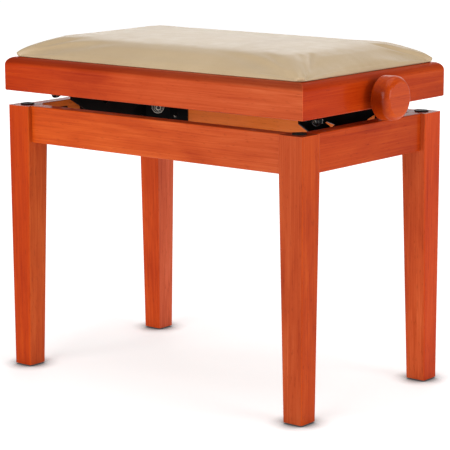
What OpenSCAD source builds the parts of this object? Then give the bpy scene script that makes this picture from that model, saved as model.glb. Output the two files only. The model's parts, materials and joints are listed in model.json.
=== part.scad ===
// Height-adjustable piano bench: a padded seat on a scissor lift inside a four-legged base.
// +X points to the hand knob, -Y to the long front side and +Z up.
// The origin is on the floor, under the middle of the whole object's box.

/* [Seat] */
// Length of the seat frame, without the knob
seat_l = 560; // [550:1:600]
// Depth of the seat frame, front to back
seat_w = 340; // [340:1:370]
// Height of the seat frame's rails
seat_rail_h = 50; // [50:1:56]
// Thickness of the seat frame's rails
seat_rail_t = 24; // [22:1:26]
// Radius of the rounded top edge of the seat frame
seat_edge_r = 12; // [9:1:14]
// Thickness of the plywood board that carries the cushion
board_t = 10; // [9:0.5:10]
// Wooden rim left showing around the cushion
cushion_rim = 13; // [12:0.5:18]
// Height of the cushion's crown above the seat frame
cushion_h = 33; // [28:1:40]

/* [Base] */
// Length of a leg, without its foot glide
leg_l = 400; // [380:1:420]
// Width of a leg's square head
leg_w = 40.5; // [39:0.5:42]
// Width of a leg's square foot
foot_w = 32; // [28:0.5:34]
// How far the seat frame stands out past the legs
seat_overhang = 3; // [2:0.5:6]
// Height of the aprons
apron_h = 55; // [54:1:60]
// Thickness of the aprons
apron_t = 22; // [20:1:22]
// How far the aprons stand back from the legs' outer faces
apron_inset = 7.5; // [5:0.5:8]
// Thickness of the foot glides
glide_t = 2; // [2:0.5:5]
// Thickness of the black pads that the lowered seat rests on
pad_t = 2; // [2:0.5:4]

/* [Lift] */
// Gap between the base and the seat frame as drawn
seat_gap = 22; // [20:0.5:26]
// Length of the scissor arms between their end pivots
arm_l = 280; // [270:1:290]
// Width of the flat steel arms
arm_w = 16; // [14:0.5:16]
// Diameter of the lift's pivots and axles
pivot_d = 8; // [7:0.5:8]
// Diameter of the threaded spindle
spindle_d = 10; // [8:0.5:10]

/* [Knob] */
// Diameter of the hand knob
knob_d = 63; // [60:1:70]
// Thickness of the hand knob
knob_t = 30; // [26:1:34]
// Gap between the seat frame and the back of the knob
knob_gap = 10; // [8:0.5:14]
// Height of the knob's axis above the seat frame's underside
knob_rise = 16; // [15:0.5:22]

/* [Hidden] */
$fn = 48;

// Levels above the floor
base_top = glide_t + leg_l;
apron_bottom = base_top - apron_h;
seat_bottom = base_top + seat_gap;
seat_top = seat_bottom + seat_rail_h;
board_bottom = seat_top - board_t;
spindle_z = seat_bottom + knob_rise;

// Everything is drawn about the middle of the seat, then moved along X so that
// the origin lies under the middle of the box that takes in the knob.
knob_reach = knob_gap + knob_t;
shift_x = knob_reach / 2;

// Base frame in plan
leg_x = seat_l / 2 - seat_overhang;
leg_y = seat_w / 2 - seat_overhang;
leg_in_x = leg_x - leg_w;
leg_in_y = leg_y - leg_w;
apron_in_x = leg_x - apron_inset - apron_t;
apron_in_y = leg_y - apron_inset - apron_t;
leg_edge_r = 2;         // rounding of the legs' long edges
leg_lean = 0.8;         // how far the outer faces come in at the foot
leg_chamfer = 9;        // flat across a leg's inner corner, where its bolt enters
eased_r = 1.5;          // easing of the aprons' edges
glide_r = 10;
pad_r = 10.25;

// Steel corner brackets and their hanger bolts
sheet_t = 2;            // thickness of the corner brackets
bracket_d = 28;         // from the aprons' inner corner to each bend
bracket_flange = 38;
bracket_h = 42;
bracket_z = base_top - 30.7;
hanger_r = 4;
hanger_reach = 12;      // thread standing out past the bracket
washer_r = 10.2;
washer_t = 1.6;
nut_r = 7.4;
nut_t = 6.5;
fit = 0.05;             // radial clearance of a pin in its bore
slack = 0.3;            // gap between the faces of parts that move past each other

// Lift: levels and pivots. The fixed pivots of both arm pairs are one above the
// other, so that the seat rises straight up.
plate_t = 3;            // thickness of the steel bars and brackets
pivot_r = pivot_d / 2;
spindle_r = spindle_d / 2;
low_z = base_top + 17;
high_z = board_bottom - 9;
fixed_x = arm_l / 2;      // centres the scissor along the bench
lift_h = high_z - low_z;
arm_angle = asin(lift_h / arm_l);
slide_x = fixed_x - arm_l * cos(arm_angle);
mid_x = (fixed_x + slide_x) / 2;
mid_z = (low_z + high_z) / 2;

// Travel of the sliding ends, from the seat on its pads to the seat raised by lift_up
lift_up = 80;
lift_down = seat_gap - pad_t - slack;
slot_x0 = fixed_x - arm_l * cos(asin((lift_h - lift_down) / arm_l)) - 7;
slot_x1 = fixed_x - arm_l * cos(asin((lift_h + lift_up) / arm_l)) + 7;
slider_r = pivot_r + 0.5;
slot_h = 2 * (slider_r + slack);

// Lift: layers from the middle of the bench outwards, as distances along Y
inner_arm_y = 82;
outer_arm_y = 87;
seat_angle_y = 92;
base_rail_y = 95;

// Lift: brackets and rails
base_rail_h = 15;
base_rail_x = 254;      // half-length of the base rails
lug_r = 6.2;            // round lugs of the rails and ears, around the lower bolts
web_x = 215;            // inner face of an end bracket's upright web
web_low_y = 43;         // half-width of the web along its bottom edge
web_bottom = base_top - 33;
web_foot = 7;           // straight part of the web's ends, below their rake
web_rake = 0.59;        // rise over run of the web's raked ends
relief_y = [21, 23, 43];       // corners of the back end's relief, out from web_low_y
relief_drop = [14.5, 9];       // its two upper corners, down from web_top
web_top = base_top + 8;
ear_bottom = low_z - base_rail_h / 2;
ear_top = low_z + base_rail_h / 2;
wing_y = 90.3;
flange_h = 27;
RAIL_BOLTS = [[247.8, low_z - 5.8], [226, low_z]];
rail_bolt_r = 3;
rail_head_r = 6;
seat_angle_x = 182;     // half-length of the seat angles
seat_angle_flange = 18;
head_r = 6.5;           // heads, washers and spacers of the pivots
clip_r = 5.7;
clip_t = 1.2;

// Spindle, its bearings and the nut block
nut_block_x = 9;        // half-length along the spindle
nut_block_y = 14;       // half-width
end_bearing_x = slide_x - 28;
bearing_half_w = 12;
collar_r = 9;
bush_r = 8;
bush_flange_r = 11;
bush_flange_t = 2;
ferrule_r = 12.5;
spindle_end_x = seat_l / 2 + knob_gap + knob_t - 8;

// Colours
CHERRY = [0.78, 0.33, 0.17];
PLAIN_WOOD = [0.72, 0.50, 0.30];
BLACK_STEEL = [0.10, 0.10, 0.11];
ZINC = [0.70, 0.71, 0.72];
DARK_STEEL = [0.20, 0.20, 0.21];
RUBBER = [0.05, 0.05, 0.05];
BEIGE = [0.80, 0.70, 0.56];

// ---------- helpers ----------

module place() { translate([-shift_x, 0, 0]) children(); }

// Draws its children once for each of the four corners of the bench.
module each_corner() {
    for (sx = [-1, 1], sy = [-1, 1]) scale_sign(sx, sy) children();
}

// Mirrors the +X +Y corner to the corner with the given signs.
module scale_sign(sx, sy) {
    mirror([sx < 0 ? 1 : 0, 0, 0]) mirror([0, sy < 0 ? 1 : 0, 0]) children();
}

// Draws its children on the front side and on the back side.
module each_side() {
    for (sy = [-1, 1]) mirror([0, sy < 0 ? 1 : 0, 0]) children();
}

// A flat outline in X and Z, made into a plate between y and y + t.
module xz_plate(y, t) {
    translate([0, y + t, 0]) rotate([90, 0, 0]) linear_extrude(t) children();
}

// A flat outline in Y and Z, made into a plate between x and x + t.
module yz_plate(x, t) {
    translate([x, 0, 0]) rotate([90, 0, 90]) linear_extrude(t) children();
}

module y_rod(x, z, r, y0, y1) {
    translate([x, y0, z]) rotate([-90, 0, 0]) cylinder(h = y1 - y0, r = r);
}

module x_rod(x0, x1, z, r) {
    translate([x0, 0, z]) rotate([0, 90, 0]) cylinder(h = x1 - x0, r = r);
}

// Rectangle with corners rounded by r, from the origin.
module round_rect(size, r) {
    translate([r, 0]) square([size.x - 2 * r, size.y]);
    translate([0, r]) square([size.x, size.y - 2 * r]);
    for (x = [r, size.x - r], y = [r, size.y - r]) translate([x, y]) circle(r);
}

// Outline of a bar with round ends about a and b.
module bar_outline(a, b, w) {
    run = b - a;
    translate(a) rotate(atan2(run.y, run.x)) {
        translate([0, -w / 2]) square([norm(run), w]);
        circle(w / 2);
        translate([norm(run), 0]) circle(w / 2);
    }
}

module disc(p, r) { translate(p) circle(r); }

// Pan-head wood screw: its head's underside is at the origin and its shank goes down.
module wood_screw(length, head) {
    intersection() {
        translate([0, 0, -head * 0.6]) sphere(head * 1.2);
        cylinder(h = head, r = head);
    }
    translate([0, 0, -length]) cylinder(h = length, r = head / 2);
}

// ---------- base ----------

// Leg for the +X +Y corner: a square head with a flat across its inner corner,
// and a shank that tapers on its two inner faces.
module leg() {
    head_z = apron_bottom - 4;
    foot_x = leg_x - leg_lean;
    foot_y = leg_y - leg_lean;
    cut = leg_chamfer * sqrt(2);
    difference() {
        union() {
            translate([leg_in_x, leg_in_y, head_z])
                linear_extrude(base_top - head_z) round_rect([leg_w, leg_w], leg_edge_r);
            hull() {
                translate([leg_in_x, leg_in_y, head_z])
                    linear_extrude(0.5) round_rect([leg_w, leg_w], leg_edge_r, $fn = 32);
                translate([foot_x - foot_w, foot_y - foot_w, glide_t])
                    linear_extrude(0.5) round_rect([foot_w, foot_w], leg_edge_r, $fn = 32);
            }
        }
        translate([leg_in_x, leg_in_y, base_top]) rotate([0, 0, 45])
            cube([cut, 3 * cut, 2 * apron_h], center = true);
        translate([leg_in_x, leg_in_y, bracket_z]) rotate([0, 0, 45]) rotate([0, 90, 0])
            cylinder(h = 34, r = hanger_r + fit);
    }
}

module leg_front_left() { color(CHERRY) place() scale_sign(-1, -1) leg(); }
module leg_front_right() { color(CHERRY) place() scale_sign(1, -1) leg(); }
module leg_back_left() { color(CHERRY) place() scale_sign(-1, 1) leg(); }
module leg_back_right() { color(CHERRY) place() leg(); }

// Apron along +Y: its inner face at apron_in_y, between the back legs.
module long_apron() {
    translate([-leg_in_x, apron_in_y, apron_bottom]) rotate([90, 0, 90])
        linear_extrude(2 * leg_in_x) round_rect([apron_t, apron_h], eased_r);
}

// Apron along +X: its inner face at apron_in_x, between the right-hand legs.
module short_apron() {
    translate([apron_in_x, leg_in_y, apron_bottom]) rotate([90, 0, 0])
        linear_extrude(2 * leg_in_y) round_rect([apron_t, apron_h], eased_r);
}

module apron_back() { color(CHERRY) place() long_apron(); }
module apron_front() { color(CHERRY) place() scale_sign(1, -1) long_apron(); }
module apron_right() { color(CHERRY) place() short_apron(); }
module apron_left() { color(CHERRY) place() scale_sign(-1, 1) short_apron(); }

// Moves to the middle of the +X +Y bracket's plate, with +X out towards the leg.
module at_hanger(z) {
    translate([apron_in_x - bracket_d / 2, apron_in_y - bracket_d / 2, z])
        rotate([0, 0, 45]) children();
}

// Bent sheet across the corner between two aprons, with a flange on each.
module corner_bracket() {
    d = bracket_d;
    far = d + bracket_flange;
    bend = sheet_t * (sqrt(2) - 1);
    difference() {
        translate([apron_in_x, apron_in_y, bracket_z - bracket_h / 2])
            linear_extrude(bracket_h)
                polygon([
                    [-far, 0], [-d, 0], [0, -d], [0, -far],
                    [-sheet_t, -far], [-sheet_t, -d - bend],
                    [-d - bend, -sheet_t], [-far, -sheet_t]
                ]);
        at_hanger(bracket_z) rotate([0, -90, 0]) cylinder(h = 8, r = hanger_r + fit, center = true);
    }
}

module corner_bracket_front_left() { color(BLACK_STEEL) place() scale_sign(-1, -1) corner_bracket(); }
module corner_bracket_front_right() { color(BLACK_STEEL) place() scale_sign(1, -1) corner_bracket(); }
module corner_bracket_back_left() { color(BLACK_STEEL) place() scale_sign(-1, 1) corner_bracket(); }
module corner_bracket_back_right() { color(BLACK_STEEL) place() corner_bracket(); }

// Two screws through each bracket flange into the apron behind it.
module bracket_screws() {
    along = bracket_d + 12;
    color(DARK_STEEL) place() each_corner() for (dz = [-14, 14]) {
        translate([apron_in_x - along, apron_in_y - sheet_t, bracket_z + dz])
            rotate([90, 0, 0]) wood_screw(14, 3.4);
        translate([apron_in_x - sheet_t, apron_in_y - along, bracket_z + dz])
            rotate([0, -90, 0]) wood_screw(14, 3.4);
    }
}

module hanger_bolts() {
    inside = 30;
    color(DARK_STEEL) place() each_corner() at_hanger(bracket_z)
        translate([-hanger_reach - sheet_t, 0, 0]) rotate([0, 90, 0])
            cylinder(h = hanger_reach + sheet_t + inside, r = hanger_r);
}

module hanger_washers() {
    color(DARK_STEEL) place() each_corner() at_hanger(bracket_z)
        translate([-sheet_t - washer_t, 0, 0]) rotate([0, 90, 0]) difference() {
            cylinder(h = washer_t, r = washer_r);
            translate([0, 0, -1]) cylinder(h = washer_t + 2, r = hanger_r + fit);
        }
}

module hanger_nuts() {
    color(DARK_STEEL) place() each_corner() at_hanger(bracket_z)
        translate([-sheet_t - washer_t - nut_t, 0, 0]) rotate([0, 90, 0]) difference() {
            cylinder(h = nut_t, r = nut_r, $fn = 6);
            translate([0, 0, -1]) cylinder(h = nut_t + 2, r = hanger_r + fit);
        }
}

module leg_top_pads() {
    centre = leg_w / 2;
    color(RUBBER) place() each_corner() translate([leg_x - centre, leg_y - centre, base_top]) {
        cylinder(h = pad_t - 0.8, r = pad_r);
        translate([0, 0, pad_t - 0.8]) cylinder(h = 0.8, r1 = pad_r, r2 = pad_r - 0.8);
    }
}

module foot_glides() {
    centre = leg_lean + foot_w / 2;
    color(RUBBER) place() each_corner() translate([leg_x - centre, leg_y - centre, 0]) {
        cylinder(h = 0.8, r1 = glide_r - 0.8, r2 = glide_r);
        translate([0, 0, 0.8]) cylinder(h = glide_t - 0.8, r = glide_r);
    }
}

// ---------- lift frame fixed to the base ----------

// Pressed bracket at the +X end: an upright web with raked ends, the back one with a
// relief, a sole that runs back to the short apron, a flange screwed to it and two
// ears for the rails.
module end_bracket() {
    rake_z = web_bottom + web_foot;
    rake_top = rake_z + (base_rail_y - web_low_y) * web_rake;
    low = [[0, web_bottom], [web_low_y, web_bottom], [web_low_y, rake_z]];
    high = [
        [base_rail_y, rake_top], [base_rail_y, ear_top], [wing_y, ear_top],
        [wing_y, web_top], [0, web_top]
    ];
    relief = [
        [web_low_y + relief_y[0], rake_z + relief_y[0] * web_rake],
        [web_low_y + relief_y[1], web_top - relief_drop[0]],
        [web_low_y + relief_y[2], web_top - relief_drop[1]]
    ];
    difference() {
        yz_plate(web_x, plate_t) union() {
            polygon(concat(low, relief, high));
            mirror([1, 0]) polygon(concat(low, high));
        }
        translate([web_x - 1, 0, 0]) yz_plate(0, plate_t + 2) polygon([
            [-36, web_top - 7], [-31, web_top - 7], [-10, web_top - 14], [-18.5, web_top - 18]
        ]);
    }
    translate([web_x, -web_low_y, web_bottom])
        cube([apron_in_x - web_x, 2 * web_low_y, plate_t]);
    translate([apron_in_x - plate_t, -web_low_y, web_bottom])
        cube([plate_t, 2 * web_low_y, flange_h]);
    each_side() xz_plate(seat_angle_y, plate_t) difference() {
        union() {
            translate([web_x, ear_bottom]) square([base_rail_x - web_x, ear_top - ear_bottom]);
            disc(RAIL_BOLTS[0], lug_r);
        }
        for (p = RAIL_BOLTS) disc(p, rail_bolt_r + fit);
    }
}

module end_bracket_right() { color(BLACK_STEEL) place() end_bracket(); }
module end_bracket_left() { color(BLACK_STEEL) place() scale_sign(-1, 1) end_bracket(); }

module end_bracket_screws() {
    color(DARK_STEEL) place() for (sx = [-1, 1]) scale_sign(sx, 1) for (y = [-28, 0, 28])
        translate([apron_in_x - plate_t, y, web_bottom + 16]) rotate([0, -90, 0])
            wood_screw(16, 4);
}

// Flat rail along the back: a round lug at each end and a slot for the sliding pin.
module base_rail() {
    xz_plate(base_rail_y, plate_t) difference() {
        union() {
            translate([-base_rail_x, ear_bottom]) square([2 * base_rail_x, base_rail_h]);
            for (sx = [0, 1]) mirror([sx, 0]) disc(RAIL_BOLTS[0], lug_r);
        }
        disc([fixed_x, low_z], pivot_r + fit);
        for (sx = [0, 1], p = RAIL_BOLTS) mirror([sx, 0]) disc(p, rail_bolt_r + fit);
        slot_outline(low_z);
    }
}

// Slot in which a sliding end runs, at height z.
module slot_outline(z) { bar_outline([slot_x0, z], [slot_x1, z], slot_h); }

module base_rail_back() { color(BLACK_STEEL) place() base_rail(); }
module base_rail_front() { color(BLACK_STEEL) place() scale_sign(1, -1) base_rail(); }

// Bolts that clamp the rails to the ears, each with its nut on the inside.
module rail_bolts() {
    outer = base_rail_y + plate_t;
    nut_h = 4;
    color(DARK_STEEL) place() each_corner() for (p = RAIL_BOLTS) {
        y_rod(p.x, p.y, rail_head_r, outer, outer + 2.5);
        y_rod(p.x, p.y, rail_bolt_r, seat_angle_y - nut_h - 1.5, outer);
        translate([p.x, seat_angle_y - nut_h, p.y]) rotate([-90, 0, 0])
            cylinder(h = nut_h, r = 5.5, $fn = 6);
    }
}

// Shouldered bolts through the rails, on which the outer arms turn.
module base_pivot_bolts() {
    outer = base_rail_y + plate_t;
    inner = outer_arm_y - slack;
    color(ZINC) place() each_side() {
        y_rod(fixed_x, low_z, head_r, outer, outer + 2.5);
        y_rod(fixed_x, low_z, pivot_r, inner - 2, outer);
        y_rod(fixed_x, low_z, head_r - 0.5, inner - 2, inner);
        y_rod(fixed_x, low_z, head_r, outer_arm_y + plate_t + slack, base_rail_y);
    }
}

// ---------- scissor arms ----------

// Flat arm on the back side, between two end pivots, with a bore at its middle.
module arm(a, b, y, bore_a, bore_mid) {
    xz_plate(y, plate_t) difference() {
        bar_outline(a, b, arm_w);
        disc(a, bore_a);
        disc(b, pivot_r);
        disc([mid_x, mid_z], bore_mid);
    }
}

module outer_arm() {
    arm([fixed_x, low_z], [slide_x, high_z], outer_arm_y, pivot_r + fit, pivot_r);
}

module inner_arm() {
    arm([fixed_x, high_z], [slide_x, low_z], inner_arm_y, pivot_r, pivot_r + fit);
}

module outer_arm_back() { color(BLACK_STEEL) place() outer_arm(); }
module outer_arm_front() { color(BLACK_STEEL) place() scale_sign(1, -1) outer_arm(); }
module inner_arm_back() { color(BLACK_STEEL) place() inner_arm(); }
module inner_arm_front() { color(BLACK_STEEL) place() scale_sign(1, -1) inner_arm(); }

// Rivets fixed in the outer arms, on which the inner arms turn.
module centre_pivot_pins() {
    inner_gap = inner_arm_y - slack;
    color(ZINC) place() each_side() {
        y_rod(mid_x, mid_z, pivot_r, inner_gap - 2, outer_arm_y + plate_t + 1.6);
        y_rod(mid_x, mid_z, head_r, inner_gap - 2, inner_gap);
        y_rod(mid_x, mid_z, head_r, inner_arm_y + plate_t + slack, outer_arm_y);
        y_rod(mid_x, mid_z, head_r - 0.5, outer_arm_y + plate_t, outer_arm_y + plate_t + 1.6);
    }
}

// Rod across both outer arms: the nut block hangs on it and its ends slide in the seat angles.
module upper_slide_axle() {
    tip = base_rail_y + 2.5;
    color(ZINC) place() {
        y_rod(slide_x, high_z, pivot_r, -tip, tip);
        each_side() {
            y_rod(slide_x, high_z, head_r - 0.5, outer_arm_y + plate_t, seat_angle_y - slack);
            y_rod(slide_x, high_z, clip_r, base_rail_y + 0.9, base_rail_y + 0.9 + clip_t);
        }
    }
}

module slide_bush(z, y) {
    difference() {
        y_rod(slide_x, z, slider_r, y, y + plate_t + 2 * slack);
        y_rod(slide_x, z, pivot_r, y - 1, y + plate_t + 2);
    }
}

module upper_slide_bushes() {
    color(RUBBER) place() each_side() slide_bush(high_z, seat_angle_y - slack);
}

// Rod across both inner arms: its ends turn in the seat angles.
module seat_pivot_axle() {
    tip = base_rail_y + 2.5;
    color(ZINC) place() {
        y_rod(fixed_x, high_z, pivot_r, -tip, tip);
        each_side() {
            y_rod(fixed_x, high_z, head_r - 0.5, inner_arm_y + plate_t, seat_angle_y - slack);
            y_rod(fixed_x, high_z, clip_r, base_rail_y + slack, base_rail_y + slack + clip_t);
        }
    }
}

// Short pins in the inner arms' low ends: they slide in the base rails.
module lower_slide_pins() {
    rail_out = base_rail_y + plate_t;
    color(ZINC) place() each_side() {
        y_rod(slide_x, low_z, pivot_r, inner_arm_y - 2, rail_out + 2.5);
        y_rod(slide_x, low_z, head_r - 0.5, inner_arm_y - 2, inner_arm_y);
        y_rod(slide_x, low_z, head_r - 0.5, inner_arm_y + plate_t, base_rail_y - slack);
        y_rod(slide_x, low_z, clip_r, rail_out + 0.9, rail_out + 0.9 + clip_t);
    }
}

module lower_slide_bushes() {
    color(RUBBER) place() each_side() slide_bush(low_z, base_rail_y - slack);
}

// ---------- seat ----------

// Steel angle under the board: pivot bore at the knob end, slot for the sliding axle.
module seat_angle() {
    low = high_z - base_rail_h / 2;
    long = 2 * seat_angle_x;
    xz_plate(seat_angle_y, plate_t) difference() {
        translate([-seat_angle_x, low]) square([long, board_bottom - low]);
        disc([fixed_x, high_z], pivot_r + fit);
        slot_outline(high_z);
    }
    translate([-seat_angle_x, base_rail_y, board_bottom - plate_t])
        cube([long, seat_angle_flange, plate_t]);
}

module seat_angle_back() { color(BLACK_STEEL) place() seat_angle(); }
module seat_angle_front() { color(BLACK_STEEL) place() scale_sign(1, -1) seat_angle(); }

module seat_angle_screws() {
    color(ZINC) place() each_side() for (x = [-150, 0, 150])
        translate([x, base_rail_y + seat_angle_flange / 2 + 1, board_bottom - plate_t])
            rotate([180, 0, 0]) wood_screw(11, 3.8);
}

// Section of a seat rail: outer face at 0, top outer edge rounded.
module seat_rail_section() {
    r = seat_edge_r;
    translate([r, 0]) square([seat_rail_t - r, seat_rail_h]);
    translate([0, 2]) square([r, seat_rail_h - r - 2]);
    translate([2, 0]) square([r - 2, 3]);
    translate([r, seat_rail_h - r]) circle(r);
    translate([2, 2]) circle(2);
}

// Rail of the given length along X with its outer face at y = 0, mitred at both ends.
module seat_rail(length) {
    half = length / 2;
    t = seat_rail_t;
    intersection() {
        translate([-half, 0, 0]) rotate([90, 0, 90]) linear_extrude(length) seat_rail_section();
        translate([0, 0, -1]) linear_extrude(seat_rail_h + 2)
            polygon([[-half, 0], [half, 0], [half - t, t], [-half + t, t]]);
    }
}

module seat_rail_front() {
    color(CHERRY) place() translate([0, -seat_w / 2, seat_bottom]) seat_rail(seat_l);
}
module seat_rail_back() {
    color(CHERRY) place() translate([0, seat_w / 2, seat_bottom]) rotate([0, 0, 180])
        seat_rail(seat_l);
}
module seat_rail_left() {
    color(CHERRY) place() translate([-seat_l / 2, 0, seat_bottom]) rotate([0, 0, -90])
        seat_rail(seat_w);
}
module seat_rail_right() {
    color(CHERRY) place() difference() {
        translate([seat_l / 2, 0, seat_bottom]) rotate([0, 0, 90]) seat_rail(seat_w);
        x_rod(seat_l / 2 - 40, seat_l / 2 + 5, spindle_z, bush_r);
    }
}

// Glue blocks in the corners of the seat frame.
module corner_blocks() {
    leg = 32;
    x = seat_l / 2 - seat_rail_t;
    y = seat_w / 2 - seat_rail_t;
    color(PLAIN_WOOD) place() each_corner() translate([x, y, seat_bottom])
        linear_extrude(board_bottom - seat_bottom)
            polygon([[0, 0], [-leg, 0], [-leg, -6], [-6, -leg], [0, -leg]]);
}

// Screws up through the blocks into the board.
module block_screws() {
    inset = seat_rail_t + 11;
    color(ZINC) place() each_corner()
        translate([seat_l / 2 - inset, seat_w / 2 - inset, seat_bottom + 3])
            rotate([180, 0, 0]) translate([0, 0, 0.4]) wood_screw(8, 2.6);
}

module seat_board() {
    x = seat_l / 2 - seat_rail_t;
    y = seat_w / 2 - seat_rail_t;
    color(PLAIN_WOOD) place() translate([-x, -y, board_bottom]) cube([2 * x, 2 * y, board_t]);
}

// Thin slab of the cushion, z above the seat frame and inset from the cushion's edge.
module cushion_slab(z, inset, r) {
    size = [seat_l - 2 * (cushion_rim + inset), seat_w - 2 * (cushion_rim + inset)];
    translate([-size.x / 2, -size.y / 2, seat_top + z]) linear_extrude(0.5)
        round_rect(size, r, $fn = 32);
}

module cushion() {
    color(BEIGE) place() hull() {
        cushion_slab(0, 2, 8);
        cushion_slab(5, 0, 8);
        cushion_slab(cushion_h * 0.55, 14, 12);
        cushion_slab(cushion_h * 0.86, 45, 25);
        cushion_slab(cushion_h - 0.5, 110, 40);
    }
}

// ---------- spindle ----------

module spindle_end_bearing() {
    x = end_bearing_x;
    half = bearing_half_w;
    low = spindle_z - half;
    color(BLACK_STEEL) place() difference() {
        union() {
            translate([x, -half, low]) cube([plate_t, 2 * half, board_bottom - low]);
            translate([x - 22, -half, board_bottom - plate_t]) cube([23, 2 * half, plate_t]);
        }
        x_rod(x - 5, x + 10, spindle_z, spindle_r + fit);
    }
}

// Steel bush through the right seat rail, with a flange on its outer face.
module spindle_bush() {
    face = seat_l / 2;
    color(ZINC) place() difference() {
        union() {
            x_rod(face - seat_rail_t, face + 1, spindle_z, bush_r);
            x_rod(face, face + bush_flange_t, spindle_z, bush_flange_r);
        }
        x_rod(face - 40, face + 10, spindle_z, spindle_r + fit);
    }
}

module spindle() {
    color(ZINC) place() x_rod(end_bearing_x - 10, spindle_end_x, spindle_z, spindle_r);
}

// Rings pinned to the spindle on each side of the end bearing.
module spindle_collars() {
    a = end_bearing_x - slack;
    b = end_bearing_x + plate_t + slack;
    color(ZINC) place() difference() {
        union() {
            x_rod(a - 6, a, spindle_z, collar_r);
            x_rod(b, b + 6, spindle_z, collar_r);
        }
        x_rod(a - 10, b + 10, spindle_z, spindle_r);
    }
}

// Black sleeve between the bush and the knob.
module knob_ferrule() {
    back = seat_l / 2 + bush_flange_t + slack;
    front = seat_l / 2 + knob_gap;
    color(BLACK_STEEL) place() difference() {
        x_rod(back, front, spindle_z, ferrule_r);
        x_rod(back - 1, front + 1, spindle_z, spindle_r);
    }
}

// Turned wooden knob: a thick disc with rounded edges and a flat face with a crisp rim.
module knob() {
    r = knob_d / 2;
    back_r = 5;
    front_r = 12;
    round_z = knob_t + 0.6 - front_r;   // the face cuts the round 0.6 below its top
    color(CHERRY) place() translate([seat_l / 2 + knob_gap, 0, spindle_z]) rotate([0, 90, 0])
        rotate_extrude($fn = 96) difference() {
            union() {
                square([r - front_r, knob_t]);
                translate([0, back_r]) square([r, round_z - back_r]);
                square([r - back_r, back_r + 1]);
                translate([r - back_r, back_r]) circle(back_r);
                translate([r - front_r, round_z]) circle(front_r);
            }
            translate([0, knob_t]) square([r, front_r]);
            translate([-r, -1]) square([r, knob_t + 2]);
            square([spindle_r, spindle_end_x - seat_l / 2 - knob_gap]);
        }
}

// Block that hangs on the upper sliding axle and rides along the spindle's thread.
module nut_block() {
    low = spindle_z - 10;
    high = high_z + pivot_r + 4;
    color(ZINC) place() difference() {
        translate([slide_x - nut_block_x, -nut_block_y, low])
            cube([2 * nut_block_x, 2 * nut_block_y, high - low]);
        y_rod(slide_x, high_z, pivot_r + fit, -nut_block_y - 1, nut_block_y + 1);
        x_rod(slide_x - nut_block_x - 1, slide_x + nut_block_x + 1, spindle_z, spindle_r + slack);
    }
}

// ---------- the bench ----------

leg_front_left();
leg_front_right();
leg_back_left();
leg_back_right();
apron_front();
apron_back();
apron_left();
apron_right();
corner_bracket_front_left();
corner_bracket_front_right();
corner_bracket_back_left();
corner_bracket_back_right();
bracket_screws();
hanger_bolts();
hanger_washers();
hanger_nuts();
leg_top_pads();
foot_glides();
end_bracket_left();
end_bracket_right();
end_bracket_screws();
base_rail_front();
base_rail_back();
rail_bolts();
base_pivot_bolts();
outer_arm_front();
outer_arm_back();
centre_pivot_pins();
upper_slide_axle();
upper_slide_bushes();
inner_arm_front();
inner_arm_back();
seat_pivot_axle();
lower_slide_pins();
lower_slide_bushes();
seat_angle_front();
seat_angle_back();
seat_angle_screws();
seat_rail_front();
seat_rail_back();
seat_rail_left();
seat_rail_right();
corner_blocks();
block_screws();
seat_board();
cushion();
spindle_end_bearing();
spindle_bush();
spindle();
spindle_collars();
knob_ferrule();
knob();
nut_block();
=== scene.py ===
import functools
import json
import math

import bmesh
import bpy
import numpy as np
from mathutils import Matrix, Vector


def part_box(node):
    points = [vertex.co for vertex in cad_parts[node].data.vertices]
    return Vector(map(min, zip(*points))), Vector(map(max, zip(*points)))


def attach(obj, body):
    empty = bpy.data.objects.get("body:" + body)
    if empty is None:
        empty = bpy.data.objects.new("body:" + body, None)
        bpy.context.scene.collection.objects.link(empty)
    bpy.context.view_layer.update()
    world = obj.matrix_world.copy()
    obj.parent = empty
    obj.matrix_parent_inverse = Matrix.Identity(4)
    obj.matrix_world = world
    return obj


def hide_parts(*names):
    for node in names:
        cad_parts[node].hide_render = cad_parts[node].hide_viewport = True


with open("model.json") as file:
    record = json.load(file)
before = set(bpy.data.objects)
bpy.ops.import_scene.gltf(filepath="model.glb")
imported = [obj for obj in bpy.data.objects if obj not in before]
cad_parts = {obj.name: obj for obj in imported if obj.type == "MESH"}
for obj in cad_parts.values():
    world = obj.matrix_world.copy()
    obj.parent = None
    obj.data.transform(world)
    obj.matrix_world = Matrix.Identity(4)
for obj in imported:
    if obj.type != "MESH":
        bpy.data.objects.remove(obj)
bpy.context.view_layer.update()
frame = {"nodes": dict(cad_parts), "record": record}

MM = 0.001
NODES = frame["nodes"]
X, Y, Z = 0, 1, 2


# ---------- shader graphs ----------

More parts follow.
